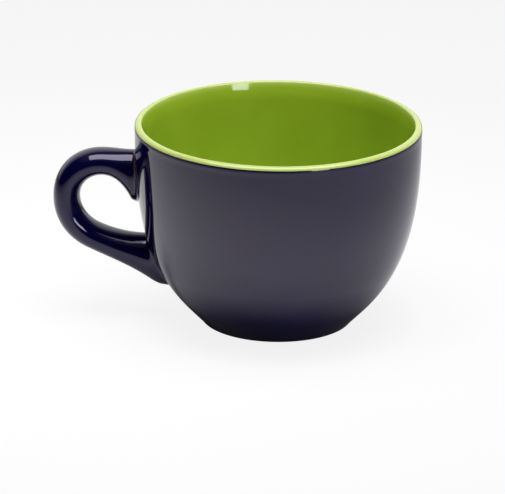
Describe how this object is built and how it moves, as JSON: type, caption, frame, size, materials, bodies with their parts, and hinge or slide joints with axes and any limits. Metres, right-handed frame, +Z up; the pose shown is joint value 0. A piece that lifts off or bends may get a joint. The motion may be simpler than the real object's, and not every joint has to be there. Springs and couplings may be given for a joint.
{
  "type": "soup mug",
  "caption": "Wide round-bellied stoneware soup mug with a looped handle, dark blue gloss glaze outside and green glaze inside and over the lip.",
  "frame": {"origin": "on the cup's axis, in the plane of the foot ring that the mug stands on", "axes": "+Z up along the cup's axis, the handle towards -X"},
  "size_m": [0.1608, 0.125, 0.0896],
  "materials": {
    "stoneware": "matte",
    "slip": "matte",
    "navy_glaze": "gloss",
    "green_glaze": "gloss"
  },
  "bodies": {
    "root": {"cup_body": "stoneware", "handle": "stoneware", "upper_luting_slip": "slip", "lower_luting_slip": "slip", "outer_glaze": "navy_glaze", "handle_glaze": "navy_glaze", "liner_glaze": "green_glaze", "base_glaze": "navy_glaze"}
  },
  "joints": []
}
